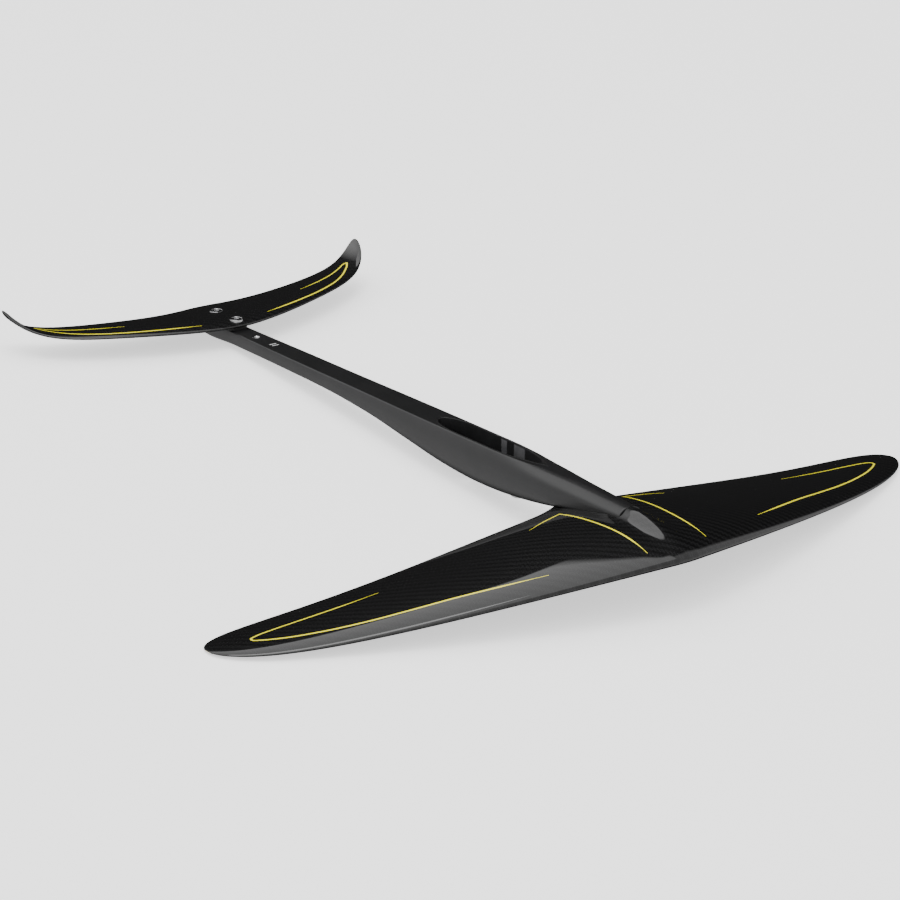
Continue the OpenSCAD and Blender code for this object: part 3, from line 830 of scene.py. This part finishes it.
def stripes():
    for side, word in ((-1, "left"), (1, "right")):
        flip = np.array([side, 1])
        corner = np.concatenate([smooth(V_FRONT), smooth(V_REAR)[1:]]) * flip
        ribbon(f"front_wing_root_stripe_{word}", on_surface, wing_surface, corner,
               STRIPE_WIDTH, STRIPE_TAPERS["root"], YELLOW)
        ribbon(f"front_wing_tip_stripe_{word}", on_surface, wing_surface,
               smooth(WING_LOOP) * flip, STRIPE_WIDTH, STRIPE_TAPERS["tip"], YELLOW)
        ribbon(f"stabiliser_stripe_{word}", on_surface, tail_surface,
               smooth(TAIL_LOOP) * flip, STRIPE_WIDTH, STRIPE_TAPERS["tail"], YELLOW)
    for number, y in enumerate(DECK_MARKS_Y, 1):
        dash = np.linspace((-DECK_MARK_HALF, y), (DECK_MARK_HALF, y), 9)
        ribbon(f"deck_mark_{number}", on_deck, None, dash, DECK_MARK_WIDTH, DECK_MARK_TAPER,
               WHITE)


front_wing()
fuselage()
stabiliser()
saddle()
socket()
fasteners()
stripes()

for name, paint in (("front_wing_left_core", FOAM), ("front_wing_right_core", FOAM),
                    ("fuselage_boom_core", FOAM), ("stabiliser_left_core", FOAM),
                    ("stabiliser_right_core", FOAM), ("front_wing_root_block", LAMINATE),
                    ("fuselage_nose_block", LAMINATE), ("fuselage_tail_block", LAMINATE),
                    ("stabiliser_root_block", LAMINATE), ("mast_screw_plate", GROUND),
                    ("front_wing_inserts", GROUND), ("stabiliser_inserts", GROUND)):
    node = frame["nodes"][name]
    node.data.materials.clear()
    node.data.materials.append(paint)


# ---- Stage ----
FLOOR_HALF = 12
FLOOR_GAP = 0.0002
FLOOR_GREY = (0.86, 0.86, 0.86, 1)
FLOOR_GLOW = 0.95
TAIL_Y = 0.2

# World lights: the parts of the direction at which each goes from dark to full
CEILING_HEIGHT = (0.70, 0.715)
CEILING_SIDE = (0.395, 0.37)
LEFT_SIDE = (0.15, -0.35)
UPPER_LEFT_SIDE = (0.2, -0.3)
UPPER_LEFT_HEIGHT = (0.02, 0.38)
FRONT_SIDE = (0.35, 0.5)

# The direction of the front light, and how bright the lights are
FRONT_LIGHT = (0.5, -0.87, 0)
LEFT_BRIGHTNESS = 0.43
FRONT_BRIGHTNESS = 0.44
ROOM_BRIGHTNESS = 0.008
ROOM_STRENGTH = 2.1
WHITE_STRENGTH = 1.6

# Camera at the photo's angle
LENS = 128.34
SENSOR = 36
EYE = (-1.66118, -2.14516, 0.99839)
EYE_TURN = (70.1563, 0, -36.9423)


def resting_slope():
    """The set rests on its front wing's tips and the end of its tail, a little nose down."""
    shown = {o.name: np.array([o.matrix_world @ v.co for v in o.data.vertices])
             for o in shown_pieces() if o.name in ("front_wing", "fuselage", "stabiliser")}
    slope = 0.0
    for _ in range(6):
        wing = shown["front_wing"]
        tip = wing[np.argmin(wing[:, 2] - slope * wing[:, 1])]
        rear = np.concatenate([v[v[:, 1] > TAIL_Y] for v in shown.values()])
        slope = float(np.min((rear[:, 2] - tip[2]) / (rear[:, 1] - tip[1])))
    return tip, slope


def floor():
    tip, slope = resting_slope()
    low = tip[2] - FLOOR_GAP
    mesh = bpy.data.meshes.new("floor")
    corners = [(x * FLOOR_HALF, y * FLOOR_HALF) for x, y in ((-1, -1), (1, -1), (1, 1), (-1, 1))]
    mesh.from_pydata([(x, y, low + slope * (y - tip[1])) for x, y in corners], [],
                     [(0, 1, 2, 3)])
    ground = bpy.data.objects.new("floor", mesh)
    bpy.context.scene.collection.objects.link(ground)
    paint = bpy.data.materials.new("studio_floor")
    paint.use_nodes = True
    shader = paint.node_tree.nodes["Principled BSDF"]
    shader.inputs["Base Color"].default_value = FLOOR_GREY
    shader.inputs["Roughness"].default_value = 0.9
    shader.inputs["Emission Color"].default_value = (1, 1, 1, 1)
    shader.inputs["Emission Strength"].default_value = FLOOR_GLOW
    mesh.materials.append(paint)
    ground.visible_glossy = False
    ground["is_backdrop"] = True


def world():
    """A ceiling light to the left, a pale front and left side, and a dark room behind.

    The camera itself sees white beyond the floor."""
    studio = bpy.data.worlds.new("studio")
    bpy.context.scene.world = studio
    studio.use_nodes = True
    tree = studio.node_tree
    tree.nodes.clear()

    def add(kind):
        return tree.nodes.new("ShaderNode" + kind)

    def fade(source, start, end, brightness):
        step = add("MapRange")
        step.inputs["From Min"].default_value = start
        step.inputs["From Max"].default_value = end
        step.inputs["To Max"].default_value = brightness
        tree.links.new(source, step.inputs["Value"])
        return step.outputs[0]

    def join(operation, first, second):
        node = add("Math")
        node.operation = operation
        tree.links.new(first, node.inputs[0])
        tree.links.new(second, node.inputs[1])
        return node.outputs[0]

    def at_least(source, brightness):
        node = add("Math")
        node.operation = "MAXIMUM"
        tree.links.new(source, node.inputs[0])
        node.inputs[1].default_value = brightness
        return node.outputs[0]

    sight, way, forward = add("TexCoord"), add("SeparateXYZ"), add("VectorMath")
    forward.operation = "DOT_PRODUCT"
    forward.inputs[1].default_value = FRONT_LIGHT
    tree.links.new(sight.outputs["Generated"], way.inputs[0])
    tree.links.new(sight.outputs["Generated"], forward.inputs[0])
    ceiling = join("MULTIPLY", fade(way.outputs["Z"], *CEILING_HEIGHT, 1),
                   fade(way.outputs["X"], *CEILING_SIDE, 1))
    left = join("MAXIMUM", fade(way.outputs["X"], *LEFT_SIDE, LEFT_BRIGHTNESS),
                join("MINIMUM", fade(way.outputs["X"], *UPPER_LEFT_SIDE, 1),
                     fade(way.outputs["Z"], *UPPER_LEFT_HEIGHT, 1)))
    front = at_least(fade(forward.outputs["Value"], *FRONT_SIDE, FRONT_BRIGHTNESS),
                     ROOM_BRIGHTNESS)
    light = join("MAXIMUM", join("MAXIMUM", ceiling, left), front)
    room, white = add("Background"), add("Background")
    room.inputs["Strength"].default_value = ROOM_STRENGTH
    tree.links.new(light, room.inputs["Color"])
    white.inputs["Strength"].default_value = WHITE_STRENGTH
    white.inputs["Color"].default_value = (1, 1, 1, 1)
    mix, out = add("MixShader"), add("OutputWorld")
    tree.links.new(add("LightPath").outputs["Is Camera Ray"], mix.inputs[0])
    tree.links.new(room.outputs[0], mix.inputs[1])
    tree.links.new(white.outputs[0], mix.inputs[2])
    tree.links.new(mix.outputs[0], out.inputs[0])


def softbox(name, place, target, width, height, power):
    light = bpy.data.lights.new(name, "AREA")
    light.shape = "RECTANGLE"
    light.size, light.size_y = width, height
    light.energy = power
    lamp = bpy.data.objects.new(name, light)
    lamp.location = place
    lamp.rotation_euler = (Vector(target) - Vector(place)).to_track_quat("-Z", "Y").to_euler()
    bpy.context.scene.collection.objects.link(lamp)


def camera():
    data = bpy.data.cameras.new("camera")
    data.lens = LENS
    data.sensor_width = SENSOR
    eye = bpy.data.objects.new("camera", data)
    eye.location = EYE
    eye.rotation_euler = Euler([math.radians(a) for a in EYE_TURN])
    bpy.context.scene.collection.objects.link(eye)
    bpy.context.scene.camera = eye


floor()
world()
softbox("top_softbox", place=(-0.8, -0.6, 3.2), target=(0, 0.1, 0), width=1.6, height=1.6,
        power=40)
camera()
